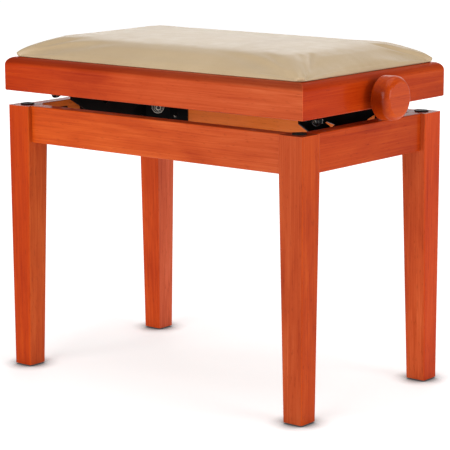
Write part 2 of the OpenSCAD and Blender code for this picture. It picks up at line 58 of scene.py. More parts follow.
class Graph:
    """A new material with short calls for adding nodes to it."""

    def __init__(self, name):
        self.material = bpy.data.materials.new(name)
        self.material.use_nodes = True
        self.tree = self.material.node_tree
        self.shader = self.tree.nodes["Principled BSDF"]
        coords = self.node("TexCoord")
        self.place = coords.outputs["Object"]
        facing = self.node("SeparateXYZ")
        self.feed(facing.inputs[0], coords.outputs["Normal"])
        self.facing = facing.outputs

    def node(self, kind, **settings):
        made = self.tree.nodes.new("ShaderNode" + kind)
        for key, value in settings.items():
            setattr(made, key, value)
        return made

    def feed(self, socket, value):
        if isinstance(value, bpy.types.NodeSocket):
            self.tree.links.new(value, socket)
        else:
            socket.default_value = value

    def math(self, operation, a, b=0.0, clamp=False):
        made = self.node("Math", operation=operation, use_clamp=clamp)
        self.feed(made.inputs[0], a)
        self.feed(made.inputs[1], b)
        return made.outputs[0]

    def moved(self, shift):
        """From here on, the object coordinates are counted from another point."""
        add = self.node("VectorMath", operation="ADD")
        self.feed(add.inputs[0], self.place)
        add.inputs[1].default_value = shift
        self.place = add.outputs[0]

    def stretched(self, scale, order=(X, Y, Z)):
        """The object coordinates in another order of axes, each times its scale."""
        split, joined = self.node("SeparateXYZ"), self.node("CombineXYZ")
        self.feed(split.inputs[0], self.place)
        for slot, (axis, factor) in enumerate(zip(order, scale)):
            self.feed(joined.inputs[slot], self.math("MULTIPLY", split.outputs[axis], factor))
        return joined.outputs[0]

    def noise(self, vector, scale=1.0, detail=2.0, roughness=0.5, distortion=0.0):
        made = self.node("TexNoise")
        self.feed(made.inputs["Vector"], vector)
        for key, value in (("Scale", scale), ("Detail", detail),
                           ("Roughness", roughness), ("Distortion", distortion)):
            made.inputs[key].default_value = value
        return made.outputs["Fac"]

    def cells(self, scale, feature="F1"):
        made = self.node("TexVoronoi", feature=feature)
        self.feed(made.inputs["Vector"], self.place)
        made.inputs["Scale"].default_value = scale
        return made.outputs["Distance"]

    def remap(self, value, low, high, to_low=0.0, to_high=1.0):
        made = self.node("MapRange", clamp=True)
        self.feed(made.inputs["Value"], value)
        for key, number in (("From Min", low), ("From Max", high),
                            ("To Min", to_low), ("To Max", to_high)):
            made.inputs[key].default_value = number
        return made.outputs[0]

    def ramp(self, value, stops):
        made = self.node("ValToRGB")
        self.feed(made.inputs[0], value)
        elements = made.color_ramp.elements
        while len(elements) < len(stops):
            elements.new(0.5)
        for element, (at, colour) in zip(elements, stops):
            element.position = at
            element.color = (*colour, 1.0)
        return made.outputs["Color"]

    def mix(self, share, a, b, blend="MIX"):
        made = self.node("Mix", data_type="RGBA", blend_type=blend)
        self.feed(made.inputs["Factor"], share)
        for slot, value in ((6, a), (7, b)):
            whole = value if isinstance(value, bpy.types.NodeSocket) else (*value, 1.0)
            self.feed(made.inputs[slot], whole)
        return made.outputs[2]

    def bump(self, height, strength, distance, under=None):
        made = self.node("Bump")
        made.inputs["Strength"].default_value = strength
        made.inputs["Distance"].default_value = distance
        self.feed(made.inputs["Height"], height)
        if under is not None:
            self.feed(made.inputs["Normal"], under)
        return made.outputs["Normal"]

    def edges(self, radius):
        """1 on the piece's sharp edges and 0 on its open faces."""
        rounded = self.node("Bevel", samples=4)
        rounded.inputs["Radius"].default_value = radius
        flat = self.node("NewGeometry")
        dot = self.node("VectorMath", operation="DOT_PRODUCT")
        self.feed(dot.inputs[0], rounded.outputs[0])
        self.feed(dot.inputs[1], flat.outputs["Normal"])
        return self.remap(dot.outputs["Value"], 0.99, 0.9)

    def towards(self, axis):
        """How squarely the surface faces along one of the object's axes, 0 to 1."""
        return self.math("ABSOLUTE", self.facing[axis])

    def surface(self, colour, roughness, normal, **sockets):
        self.feed(self.shader.inputs["Base Color"], colour)
        self.feed(self.shader.inputs["Roughness"], roughness)
        self.feed(self.shader.inputs["Normal"], normal)
        for key, value in sockets.items():
            self.shader.inputs[key.replace("_", " ")].default_value = value
        return self.material


# ---------- materials ----------

# Dark, middle and light tone of each wood.
CHERRY = ((0.34, 0.024, 0.0020), (0.49, 0.052, 0.0050), (0.61, 0.088, 0.0110))
TAN = ((0.58, 0.120, 0.0200), (0.72, 0.165, 0.0300), (0.80, 0.210, 0.0450))
PLAIN = ((0.36, 0.20, 0.090), (0.50, 0.30, 0.150), (0.60, 0.39, 0.21))
# How the colour drifts along each piece, partly stain and partly painted light and sheen:
# a tint for the low end of its grain and one for the high end.
STAIN_AND_LIGHT_TINTS = {
    "knob": ((0.92, 0.88, 0.1), (0.92, 0.88, 0.1)),
    "seat_rail_front": ((0.80, 0.56, 0.1), (0.94, 1.45, 4.0)),
    "seat_rail_right": ((0.82, 0.56, 0.3), (0.82, 0.80, 0.7)),
    "apron_front": ((1.06, 1.28, 1.2), (0.90, 1.28, 3.2)),
    "apron_right": ((0.90, 0.86, 0.8), (0.74, 0.66, 0.6)),
    "leg_front_left": ((0.92, 0.80, 0.4), (0.88, 0.74, 0.2)),
    "leg_front_right": ((0.84, 1.10, 2.4), (0.80, 1.05, 2.4)),
    "leg_back_left": ((1.15, 1.20, 1.5), (1.10, 1.15, 1.5)),
    "leg_back_right": ((1.06, 1.42, 3.2), (1.06, 1.42, 3.2)),
}
# Painted light and shade on a leg's right-hand face: its tint over that of its others.
RIGHT_FACE_PAINTED_LIGHT = {"leg_front_left": (1.12, 1.75, 7.0), "leg_back_left": (1.02, 1.60, 5.0),
               "leg_front_right": (1.14, 0.95, 0.4), "leg_back_right": (0.93, 0.62, 0.3)}
BLACK_ZINC = ((0.020, 0.020, 0.022), (0.032, 0.032, 0.034), (0.050, 0.049, 0.048))


def wood(name, grain, tones, board=0, gloss=1.0, end_grain=0.55, bare=None, drift=None,
         right=None, rim=0.0):
    """Wood whose grain runs along one axis. The streaks and flecks are noise stretched
    along the grain, and board shifts them so that no two pieces match. The face that
    looks along bare, an axis and a sign, has only thin stain. drift is the tint at two
    places along the grain: where and what at the first, then at the second; it is partly
    stain and partly painted light and sheen. right is painted light and shade on the face
    that looks to the right. rim is for the seat rails: how strong the painted shade is on
    their upward rounding under the cushion, where the mitre shows as well."""
    g = Graph(name)
    here = g.place
    g.moved((0.37 * board, 0.53 * board, 0.71 * board))
    order = (grain, (grain + 1) % 3, (grain + 2) % 3)

    def grained(along, across, **settings):
        """Noise drawn out along the grain, by its scale that way and across it."""
        return g.noise(g.stretched((along, across, across), order), **settings)

    zones = grained(5.0, 22, detail=3, roughness=0.6, distortion=0.5)
    rings = grained(3.0, 130, detail=5, roughness=0.70, distortion=0.8)
    lines = grained(9.0, 520, detail=3, distortion=0.4)
    flecks = grained(75, 430, detail=2, roughness=0.6)
    fibres = grained(45, 1500, detail=2)
    tone = g.math("ADD", g.math("MULTIPLY", zones, 0.40), g.math("MULTIPLY", rings, 0.34))
    tone = g.math("ADD", tone, g.math("MULTIPLY", lines, 0.26))
    tone = g.remap(tone, 0.34, 0.66)

    def stained(shades):
        colour = g.ramp(tone, list(zip((0.0, 0.5, 1.0), shades)))
        return g.mix(g.remap(flecks, 0.60, 0.76, 0.0, 0.50), colour,
                     tuple(0.60 * c for c in shades[0]))

    colour = stained(tones)
    dark = tuple(0.42 * c for c in tones[0])
    if bare:
        axis, sign = bare
        thin = g.remap(g.math("MULTIPLY", g.facing[axis], float(sign)), 0.80, 0.96)
        colour = g.mix(thin, colour, stained(TAN))
    # The drift along the grain: partly stain, partly painted light and sheen, such as a whiter sheen
    # at one end.
    if drift:
        start, first, stop, second = drift
        split = g.node("SeparateXYZ")
        g.feed(split.inputs[0], here)
        tint = g.mix(g.remap(split.outputs[grain], start, stop), first, second)
        colour = g.mix(1.0, colour, tint, "MULTIPLY")
    # Painted light and shade on the face that looks to the right.
    if right:
        share = g.remap(g.facing[X], 0.55, 0.85)
        colour = g.mix(share, colour, g.mix(1.0, colour, right, "MULTIPLY"))
    ends = g.math("POWER", g.towards(grain), 3.0)
    colour = g.mix(g.math("MULTIPLY", ends, end_grain), colour, dark)
    if rim:
        up = g.facing[Z]
        # Painted shade: the upward rounding of the seat rails darker under the cushion's overhang.
        painted_rim_shade = g.math("MULTIPLY", g.remap(up, 0.10, 0.45), g.remap(up, 0.995, 0.93))
        colour = g.mix(g.math("MULTIPLY", painted_rim_shade, rim), colour, dark)
        seam = g.math("MULTIPLY", mitre_lines(g, here), g.remap(up, 0.2, 0.5))
        colour = g.mix(seam, colour, tuple(0.5 * c for c in dark))
    # Lighter edges, partly wear and partly painted highlight.
    wear_and_highlight = tuple(min(1.0, 1.3 * c + 0.03) for c in tones[2])
    colour = g.mix(g.math("MULTIPLY", g.edges(0.9 * MM), 0.5), colour, wear_and_highlight)
    polish = (0.30, 0.42) if gloss else (0.60, 0.75)
    roughness = g.remap(grained(9, 40, detail=2), 0.3, 0.7, *polish)
    height = g.math("ADD", g.math("MULTIPLY", fibres, 0.5), g.math("MULTIPLY", lines, 0.5))
    normal = g.bump(height, 0.12 if gloss else 0.3, 0.2 * MM)
    return g.surface(colour, roughness, normal, Specular_IOR_Level=0.03,
                     Coat_Weight=0.12 * gloss, Coat_Roughness=0.12, Coat_IOR=1.4)


def mitre_lines(g, place):
    """Thin dark lines where the four seat rails meet at 45 degrees."""
    low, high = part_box("seat_rail_front")
    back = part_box("seat_rail_back")[1]
    middle = (low.x + high.x) / 2
    half_x, half_y = (high.x - low.x) / 2, (back.y - low.y) / 2
    split = g.node("SeparateXYZ")
    g.feed(split.inputs[0], place)
    from_end = g.math("SUBTRACT", half_x,
                      g.math("ABSOLUTE", g.math("SUBTRACT", split.outputs[X], middle)))
    from_side = g.math("SUBTRACT", half_y, g.math("ABSOLUTE", split.outputs[Y]))
    off = g.math("ABSOLUTE", g.math("SUBTRACT", from_end, from_side))
    return g.remap(off, 0.12 * MM, 0.45 * MM, 0.7, 0.0)


def leatherette():
    """Beige coated fabric: a fine pebbled grain with a soft sheen."""
    g = Graph("leatherette")
    pebbles = g.cells(900.0, "SMOOTH_F1")
    creases = g.cells(420.0, "DISTANCE_TO_EDGE")
    cloudy = g.noise(g.place, 9.0, detail=4)
    fine = g.noise(g.place, 2400.0, detail=1)
    colour = g.ramp(cloudy, [(0.32, (0.455, 0.330, 0.190)), (0.52, (0.485, 0.358, 0.210)),
                             (0.70, (0.515, 0.382, 0.230))])
    colour = g.mix(g.remap(creases, 0.0, 0.06, 0.16, 0.0), colour, (0.30, 0.20, 0.11))
    roughness = g.remap(g.noise(g.place, 60.0, detail=3), 0.3, 0.7, 0.38, 0.50)
    coarse = g.bump(g.remap(creases, 0.0, 0.12), 0.25, 0.10 * MM)
    small = g.bump(pebbles, 0.20, 0.06 * MM, coarse)
    normal = g.bump(fine, 0.10, 0.03 * MM, small)
    return g.surface(colour, roughness, normal, Sheen_Weight=0.12, Sheen_Roughness=0.4,
                     Coat_Weight=0.10, Coat_Roughness=0.35)


def black_paint():
    """Satin black powder coat over steel, grey along the edges, partly rubbed and partly painted
    highlight.
    """
    g = Graph("black_paint")
    dust = g.noise(g.place, 35.0, detail=5)
    colour = g.ramp(dust, [(0.35, (0.0010, 0.0011, 0.0013)), (0.65, (0.0030, 0.0032, 0.0036))])
    # Grey edges: partly rubbed paint, partly painted highlight.
    colour = g.mix(g.math("MULTIPLY", g.edges(0.5 * MM), 0.55), colour, (0.10, 0.10, 0.105))
    roughness = g.remap(g.noise(g.place, 120.0, detail=3), 0.3, 0.7, 0.30, 0.44)
    normal = g.bump(g.noise(g.place, 1300.0, detail=2), 0.14, 0.06 * MM)
    return g.surface(colour, roughness, normal, Specular_IOR_Level=0.03)


def bright_steel(name, dark, middle, light, roughness, rim=None, bare=(0.80, 0.74, 0.62)):
    """Plated steel with faint streaks. rim, if given, is how wide its lighter edges are, partly
    wear and partly painted highlight, and bare is the colour of the steel that shows there."""
    g = Graph(name)
    tint = g.noise(g.place, 60.0, detail=4, distortion=0.6)
    colour = g.ramp(tint, [(0.30, dark), (0.55, middle), (0.75, light)])
    # Lighter edges: partly wear, partly painted highlight.
    if rim:
        colour = g.mix(g.math("MULTIPLY", g.edges(rim), 0.9), colour, bare)
    rub = g.noise(g.place, 900.0, detail=3)
    return g.surface(colour, g.remap(rub, 0.3, 0.7, *roughness), g.bump(rub, 0.10, 0.04 * MM),
                     Metallic=1.0)


def zinc():
    return bright_steel("zinc", (0.52, 0.50, 0.45), (0.68, 0.68, 0.67), (0.74, 0.75, 0.78),
                        (0.22, 0.40))


def dark_steel():
    """Black zinc plate, bright along the edges, partly from wear and partly as painted highlight."""
    return bright_steel("dark_steel", *BLACK_ZINC, (0.26, 0.42), rim=0.8 * MM)


def washer_steel():
    """Black zinc plate with a broad bright ring round each washer's edges, partly bare steel and
    partly a painted highlight of the light its rims catch.
    """
    return bright_steel("washer_steel", *BLACK_ZINC, (0.40, 0.55), rim=1.8 * MM,
                        bare=(0.95, 0.90, 0.78))


def rubber():
    """Matt black rubber with a fine speckle."""
    g = Graph("rubber")
    speckle = g.noise(g.place, 1600.0, detail=2)
    colour = g.ramp(speckle, [(0.40, (0.003, 0.003, 0.003)), (0.65, (0.010, 0.010, 0.010))])
    roughness = g.remap(g.noise(g.place, 200.0), 0.3, 0.7, 0.50, 0.70)
    return g.surface(colour, roughness, g.bump(speckle, 0.25, 0.08 * MM), Specular_IOR_Level=0.2)


def nylon():
    """Off-white moulded nylon."""
    g = Graph("nylon")
    cloudy = g.noise(g.place, 150.0, detail=3)
    colour = g.ramp(cloudy, [(0.35, (0.60, 0.58, 0.50)), (0.65, (0.72, 0.70, 0.64))])
    roughness = g.remap(cloudy, 0.3, 0.7, 0.40, 0.52)
    return g.surface(colour, roughness, g.bump(cloudy, 0.08, 0.05 * MM))


# ---------- CAD nodes ----------

def finish_node(name, material, edge=0.0):
    """Gives a CAD node its material, and with edge, a small real round on its sharp edges."""
    piece = NODES[name]
    for holder in piece.material_slots:
        holder.material = material
    if not edge:
        return
    mesh = piece.data
    if "custom_normal" in mesh.attributes:
        mesh.attributes.remove(mesh.attributes["custom_normal"])
    mesh.shade_smooth()
    weld = piece.modifiers.new("weld", "WELD")
    weld.merge_threshold = 0.005 * MM
    flatten = piece.modifiers.new("flatten", "DECIMATE")
    flatten.decimate_type = "DISSOLVE"
    flatten.angle_limit = math.radians(0.1)
    bevel = piece.modifiers.new("bevel", "BEVEL")
    bevel.width = edge
    bevel.segments = 2
    bevel.limit_method = "ANGLE"
    bevel.angle_limit = math.radians(35)
    bevel.use_clamp_overlap = True
    bevel.harden_normals = False
    weighted = piece.modifiers.new("weighted", "WEIGHTED_NORMAL")
    weighted.keep_sharp = False


def cherry(name, board):
    """The stain of one of the red-brown pieces, with its own run of grain."""
    corner = name.startswith("leg")
    long_piece = name.endswith(("front", "back"))
    grain = Z if corner else X if long_piece else Y
    extra = {}
    if name.startswith("apron"):
        extra["bare"] = {"apron_front": (Y, 1), "apron_back": (Y, -1),
                         "apron_left": (X, 1), "apron_right": (X, -1)}[name]
    if name.startswith("seat_rail"):
        # Strength of the painted shade on the rail's rounding, weaker on the rails that catch light.
        extra["rim"] = 0.62 if name == "seat_rail_front" else 0.30
    if name in STAIN_AND_LIGHT_TINTS:
        low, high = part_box(name)
        first, second = STAIN_AND_LIGHT_TINTS[name]
        extra["drift"] = (low[grain], first, high[grain], second)
    if name in RIGHT_FACE_PAINTED_LIGHT:
        extra["right"] = RIGHT_FACE_PAINTED_LIGHT[name]
    if name == "knob":
        extra["end_grain"] = 0.9
        extra["gloss"] = 3.0
    return wood("cherry_" + name, grain, CHERRY, board, **extra)


# Pieces with wider rounds than others of their material: how their names start, and the width.
WIDE_EDGES = (("corner_bracket", 0.9 * MM), ("hanger_washers", 1.0 * MM))


def dress_nodes():
    """Gives every CAD node but the cushion the look of its material slot in the record."""
    plain = wood("plain_grain", X, PLAIN, gloss=0.0)
    looks = {"black_steel": (black_paint(), 0.3 * MM), "zinc_steel": (ZINC, 0.2 * MM),
             "dark_steel": (DARK, 0.4 * MM), "black_rubber": (rubber(), 0.3 * MM),
             "nylon": (nylon(), 0.0), "plain_wood": (plain, 0.4 * MM)}
    board = 0
    for part in frame["record"]["subparts"]:
        name, slot = part["node"], part["material_slot"]
        if slot == "cherry_wood":
            board += 1
            finish_node(name, cherry(name, board), 0.5 * MM)
        elif slot in looks:
            material, edge = looks[slot]
            edge = next((wide for start, wide in WIDE_EDGES if name.startswith(start)), edge)
            if name == "hanger_washers":
                material = washer_steel()
            finish_node(name, material, edge)


# ---------- new pieces ----------

def add_piece(name, verts, faces, material, body):
    """A new object in the scene that rides on a body."""
    mesh = bpy.data.meshes.new(name)
    mesh.from_pydata([tuple(v) for v in verts], [], faces)
    mesh.materials.append(material)
    mesh.validate()
    piece = bpy.data.objects.new(name, mesh)
    bpy.context.scene.collection.objects.link(piece)
    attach(piece, body)
    return piece


class Shape:
    """A mesh being put together: its corners and its faces."""

    def __init__(self, verts=(), faces=()):
        self.verts, self.faces = [Vector(v) for v in verts], [tuple(f) for f in faces]

    def add(self, other, place=Matrix()):
        start = len(self.verts)
        self.verts += [place @ v for v in other.verts]
        flip = place.determinant() < 0
        for face in other.faces:
            face = tuple(start + i for i in face)
            self.faces.append(face[::-1] if flip else face)
        return self

    def cut(self, other, operation="DIFFERENCE"):
        """This shape less the other one, or where the two meet."""
        made = []
        for shape in (self, other):
            mesh = bpy.data.meshes.new("cut")
            mesh.from_pydata([tuple(v) for v in shape.verts], [], shape.faces)
            made.append(bpy.data.objects.new("cut", mesh))
            bpy.context.scene.collection.objects.link(made[-1])
        modifier = made[0].modifiers.new("cut", "BOOLEAN")
        modifier.object, modifier.operation, modifier.solver = made[1], operation, "EXACT"
        result = bpy.data.meshes.new_from_object(
            made[0].evaluated_get(bpy.context.evaluated_depsgraph_get()))
        out = Shape([v.co for v in result.vertices], [p.vertices for p in result.polygons])
        for piece in made:
            mesh = piece.data
            bpy.data.objects.remove(piece)
            bpy.data.meshes.remove(mesh)
        bpy.data.meshes.remove(result)
        return out


def lathe(profile, segments=32):
    """A closed turned shape about Z. The profile runs up from a point on the axis to another."""
    shape = Shape()
    rings = []
    for radius, z in profile:
        if radius == 0:
            rings.append([len(shape.verts)] * segments)
            shape.verts.append(Vector((0, 0, z)))
        else:
            rings.append(list(range(len(shape.verts), len(shape.verts) + segments)))
            for k in range(segments):
                turn = 2 * math.pi * k / segments
                shape.verts.append(Vector((radius * math.cos(turn), radius * math.sin(turn), z)))
    for low, high in zip(rings, rings[1:]):
        for k in range(segments):
            n = (k + 1) % segments
            face = [low[k], low[n], high[n], high[k]]
            if low[0] == low[1]:
                face = [low[k], high[n], high[k]]
            elif high[0] == high[1]:
                face = [low[k], low[n], high[k]]
            shape.faces.append(tuple(face))
    return shape


def prism(outline, z0, z1, shrink=1.0):
    """A flat outline made into a bar along Z; shrink scales its top."""
    count = len(outline)
    verts = [(x, y, z0) for x, y in outline] + [(shrink * x, shrink * y, z1) for x, y in outline]
    faces = [tuple(range(count))[::-1], tuple(range(count, 2 * count))]
    faces += [(k, (k + 1) % count, count + (k + 1) % count, count + k) for k in range(count)]
    return Shape(verts, faces)


def hexagon(radius):
    return [(radius * math.cos(math.pi * k / 3), radius * math.sin(math.pi * k / 3))
            for k in range(6)]


def thread(radius, pitch, z0, z1, depth, segments=24, flat=0.25):
    """A rod along Z with a screw thread cut in it, which runs out over its first and last
    turn. flat is how much of the pitch the crest and the root each stay level."""
    shape = Shape()
    per_turn = 6                            # rings of points in a turn
    steps = max(2, round((z1 - z0) / pitch * per_turn))
    for i in range(steps + 1):
        z = z0 + (z1 - z0) * i / steps
        lead = min(1.0, (i if i < steps / 2 else steps - i) / per_turn)
        for k in range(segments):
            wave = (z / pitch - k / segments) % 1.0
            groove = max(0.0, min(1.0, (abs(2 * wave - 1) - flat) / (1 - 2 * flat)))
            r = radius - depth * (groove if lead >= 1 else groove * lead + 0.5 * (1 - lead))
            turn = 2 * math.pi * k / segments
            shape.verts.append(Vector((r * math.cos(turn), r * math.sin(turn), z)))
    for i in range(steps):
        for k in range(segments):
            n = (k + 1) % segments
            a, b = i * segments, (i + 1) * segments
            shape.faces.append((a + k, a + n, b + n, b + k))
    shape.faces.append(tuple(range(segments))[::-1])
    shape.faces.append(tuple(range(steps * segments, (steps + 1) * segments)))
    return shape


def islands(name):
    """The separate solids of a CAD node, each as an array of its points."""
    mesh = NODES[name].data
    points = np.array([v.co[:] for v in mesh.vertices])
    _, same = np.unique(np.round(points / (0.01 * MM)).astype(int), axis=0, return_inverse=True)
    same = same.reshape(-1)
    parent = list(range(same.max() + 1))

    def root(i):
        while parent[i] != i:
            parent[i] = parent[parent[i]]
            i = parent[i]
        return i

    for face in mesh.polygons:
        first = root(same[face.vertices[0]])
        for i in face.vertices[1:]:
            parent[root(same[i])] = first
    groups = {}
    for i, own in enumerate(same):
        groups.setdefault(root(own), []).append(i)
    found = [points[rows] for rows in groups.values()]
    return sorted(found, key=lambda p: tuple(np.round(p.mean(axis=0), 4)))


def frame_of(origin, direction, up=(0, 0, 1)):
    """Placement whose Z runs along direction and whose X is as near up as can be."""
    z = Vector(direction).normalized()
    up = Vector(up) if abs(z.dot(Vector(up))) < 0.9 else Vector((1, 0, 0))
    x = (up - up.dot(z) * z).normalized()
    y = z.cross(x)
    return Matrix(((x.x, y.x, z.x, origin[0]), (x.y, y.y, z.y, origin[1]),
                   (x.z, y.z, z.z, origin[2]), (0, 0, 0, 1)))


def domed_head(radius, height, recess, rings=7):
    """Screw head on z = 0 with a recess in its top."""
    profile = [(0, 0), (radius, 0)]
    for k in range(rings):
        turn = math.pi / 2 * k / rings
        profile.append((radius * math.cos(turn), height * (0.25 + 0.75 * math.sin(turn))))
    profile.append((0, height))
    return lathe(profile).cut(recess)


def cross_recess(radius, height):
    """What is cut out of a screw head for the driver: a cross that narrows downwards."""
    arm, half, narrow = 0.62 * radius, 0.11 * radius, 0.35
    cross = [(arm, -half), (arm, half), (half, half), (half, arm), (-half, arm),
             (-half, half), (-arm, half), (-arm, -half), (-half, -half), (-half, -arm),
             (half, -arm), (half, -half)]
    return prism([(narrow * x, narrow * y) for x, y in cross], 0.1 * height, 1.2 * height,
                 1 / narrow)


def screws(name, body, material):
    """Cross-recess screws in place of a CAD node's plain ones, each where the plain one is."""
    shape = Shape()
    masters = {}
    for points in islands(name):
        low, high = points.min(axis=0), points.max(axis=0)
        axis = int(np.argmax(high - low))
        middle = (low + high) / 2
        across = np.delete(points - middle, axis, axis=1)
        spread = np.hypot(across[:, 0], across[:, 1])
        radius = spread.max()
        wide = points[spread > 0.97 * radius][:, axis].mean()
        sign = 1 if wide > middle[axis] else -1
        height = 0.6 * radius
        length = (high - low)[axis] - height
        key = round(radius, 5)
        if key not in masters:
            masters[key] = domed_head(radius, height, cross_recess(radius, height))
        direction = np.zeros(3)
        direction[axis] = sign
        face = middle.copy()
        face[axis] = (high[axis] if sign > 0 else low[axis]) - sign * height
        place = frame_of(face, direction)
        turned = Matrix.Rotation(0.7 * len(shape.faces), 4, "Z")
        shape.add(masters[key], place @ turned)
        shank = lathe([(0, -length), (0.1 * radius, -length), (radius / 2, -length + radius),
                       (radius / 2, 0.1 * height), (0, 0.1 * height)], 16)
        shape.add(shank, place)
    piece = add_piece(name + "_cross", shape.verts, shape.faces, material, body)
    soften(piece)
    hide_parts(name)


def soften(piece, angle=40):
    """Smooth shading, except over edges sharper than the angle."""
    piece.data.shade_smooth()
    piece.data.set_sharp_from_angle(angle=math.radians(angle))


def outward(points):
    """Direction across the bench's corner, from its middle to where the points are."""
    low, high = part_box("seat_rail_front")
    x, y = points[:, 0].mean() - (low.x + high.x) / 2, points[:, 1].mean()
    return Vector((math.copysign(1, x), math.copysign(1, y), 0)).normalized()


@functools.cache
def hex_nut(radius, thick, bore):
    """A nut on z = 0 with its corners chamfered at both ends."""
    edge = 0.12 * radius
    body = lathe([(0, 0), (radius - edge, 0), (radius, 0.6 * edge), (radius, thick - 0.6 * edge),
                  (radius - edge, thick), (0, thick)], 48)
    body = body.cut(prism(hexagon(radius), -thick, 2 * thick), "INTERSECT")
    start, end = -1 * MM, thick + 1 * MM
    return body.cut(lathe([(0, start), (bore, start), (bore, end), (0, end)], 24))


def corner_bolts():
    """The hanger bolts' threaded ends and their chamfered nuts."""
    rods, nuts = Shape(), Shape()
    threaded, pitch, bore = 17 * MM, 1.4 * MM, 4.05 * MM
    for points in islands("hanger_bolts"):
        along = outward(points)
        spots = points @ np.array(along)
        radius = (points[:, 2].max() - points[:, 2].min()) / 2
        middle = Vector(points.mean(axis=0))
        start = middle + (float(spots.min()) - middle.dot(along)) * along
        place = frame_of(start, along)
        length = float(spots.max() - spots.min())
        plain = radius - 0.2 * MM
        rods.add(lathe([(0, 0), (radius - 0.9 * MM, 0), (radius - 0.3 * MM, 0.7 * MM),
                        (0, 0.8 * MM)], 24), place)
        rods.add(thread(radius, pitch, 0.5 * MM, threaded, pitch / 2), place)
        rods.add(lathe([(0, threaded), (plain, threaded), (plain, length), (0, length)], 24),
                 place)
    for points in islands("hanger_nuts"):
        along = outward(points)
        spots = points @ np.array(along)
        middle = Vector(points.mean(axis=0))
        start = middle + (float(spots.min()) - middle.dot(along)) * along
        radius = (points[:, 2].max() - points[:, 2].min()) / 2
        thick = float(spots.max() - spots.min())
        nuts.add(hex_nut(round(radius, 5), round(thick, 5), bore), frame_of(start, along))
    for name, shape in (("hanger_bolts", rods), ("hanger_nuts", nuts)):
        piece = add_piece(name + "_threaded", shape.verts, shape.faces, DARK, "base")
        soften(piece, 30)
        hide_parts(name)


def rail_fasteners():
    """Button-head bolts with a hexagon socket, and their nuts."""
    shape, made = Shape(), None
    head, nut, tip = 2.5 * MM, 4.0 * MM, 1.5 * MM       # tip: how far a bolt passes its nut
    for points in islands("rail_bolts"):
        low, high = points.min(axis=0), points.max(axis=0)
        side = 1 if points[:, 1].mean() > 0 else -1
        x, z = (low[0] + high[0]) / 2, (low[2] + high[2]) / 2
        radius = (high[0] - low[0]) / 2
        outer, inner = (high[1], low[1]) if side > 0 else (low[1], high[1])
        place = frame_of((x, outer - side * head, z), (0, side, 0))
        if made is None:
            made = domed_head(radius, head, prism(hexagon(0.36 * radius), 0.3 * head, 2 * head))
        shape.add(made, place)
        shank = abs(outer - inner) - head
        shape.add(thread(3.0 * MM, 1.2 * MM, -shank, 0.2 * MM, 0.5 * MM, 20), place)
        nut_place = frame_of((x, inner + side * tip, z), (0, side, 0))
        shape.add(hex_nut(5.5 * MM, nut, 2.9 * MM), nut_place)
    piece = add_piece("rail_bolts_button_head", shape.verts, shape.faces, DARK, "base")
    soften(piece, 30)
    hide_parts("rail_bolts")


def build_spindle():
    """The spindle with its thread, plain where it runs in the bush and the bearing."""
    low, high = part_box("spindle")
    collars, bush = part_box("spindle_collars"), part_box("spindle_bush")
    radius = (high.z - low.z) / 2
    y, z = (low.y + high.y) / 2, (low.z + high.z) / 2
    start, end = collars[1].x + 1 * MM - low.x, bush[0].x - 2 * MM - low.x
    length, edge = high.x - low.x, 0.8 * MM
    place = frame_of((low.x, y, z), (1, 0, 0))
    shape = Shape()
    shape.add(lathe([(0, 0), (radius - edge, 0), (radius, edge), (radius, start), (0, start)]), place)
    shape.add(thread(radius, 4 * MM, start, end, 1.3 * MM, 28, flat=0.3), place)
    shape.add(lathe([(0, end), (radius, end), (radius, length - edge), (radius - edge, length),
                     (0, length)]), place)
    piece = add_piece("spindle_threaded", shape.verts, shape.faces, ZINC, "spindle")
    soften(piece, 50)
    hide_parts("spindle")


# ---------- cushion ----------

def cushion_outline(half_x, half_y, radius, u, v):
    """Point of a rounded rectangle for a place (u, v) on the edge of the unit square."""
    if abs(u) >= abs(v):
        run, other, share = half_y, half_x, abs(v)
    else:
        run, other, share = half_x, half_y, abs(u)
    radius = min(radius, run, other)
    straight, arc = run - radius, radius * math.pi / 4
    s = share * (straight + arc)
    if s <= straight or radius < 1e-6:
        along, across = s, other
    else:
        turn = (s - straight) / radius
        along = straight + radius * math.sin(turn)
        across = other - radius + radius * math.cos(turn)
    x, y = (across, along) if abs(u) >= abs(v) else (along, across)
    return math.copysign(x, u), math.copysign(y, v)


def cushion_height(dx, dy):
    """Height of the cover over the seat frame, dx and dy in from the cushion's edges, in mm:
    a round edge, a straight slope and a nearly flat middle, softly mitred at the corners."""
    soft, run, bend = 26.0, 46.0, 7.0       # rounding of the mitres, slope's width, its bend
    lip, shoulder, rise, crest = 7.2, 5.6, 0.335, 3.4   # rise is a gradient
    apart = dx - dy
    near = (dx + dy - np.sqrt(apart ** 2 + soft * soft)) / 2
    near = np.maximum(near + 0.36 * soft * np.exp(-(apart / (1.5 * soft)) ** 2), 0.0)
    slope = -bend * np.log(np.exp(-near / bend) + math.exp(-run / bend))
    crown = 1 - np.exp(-np.maximum(near - 35, 0.0) / 60)
    return lip + shoulder * (1 - np.exp(-near / 4.5)) + rise * slope + crest * crown


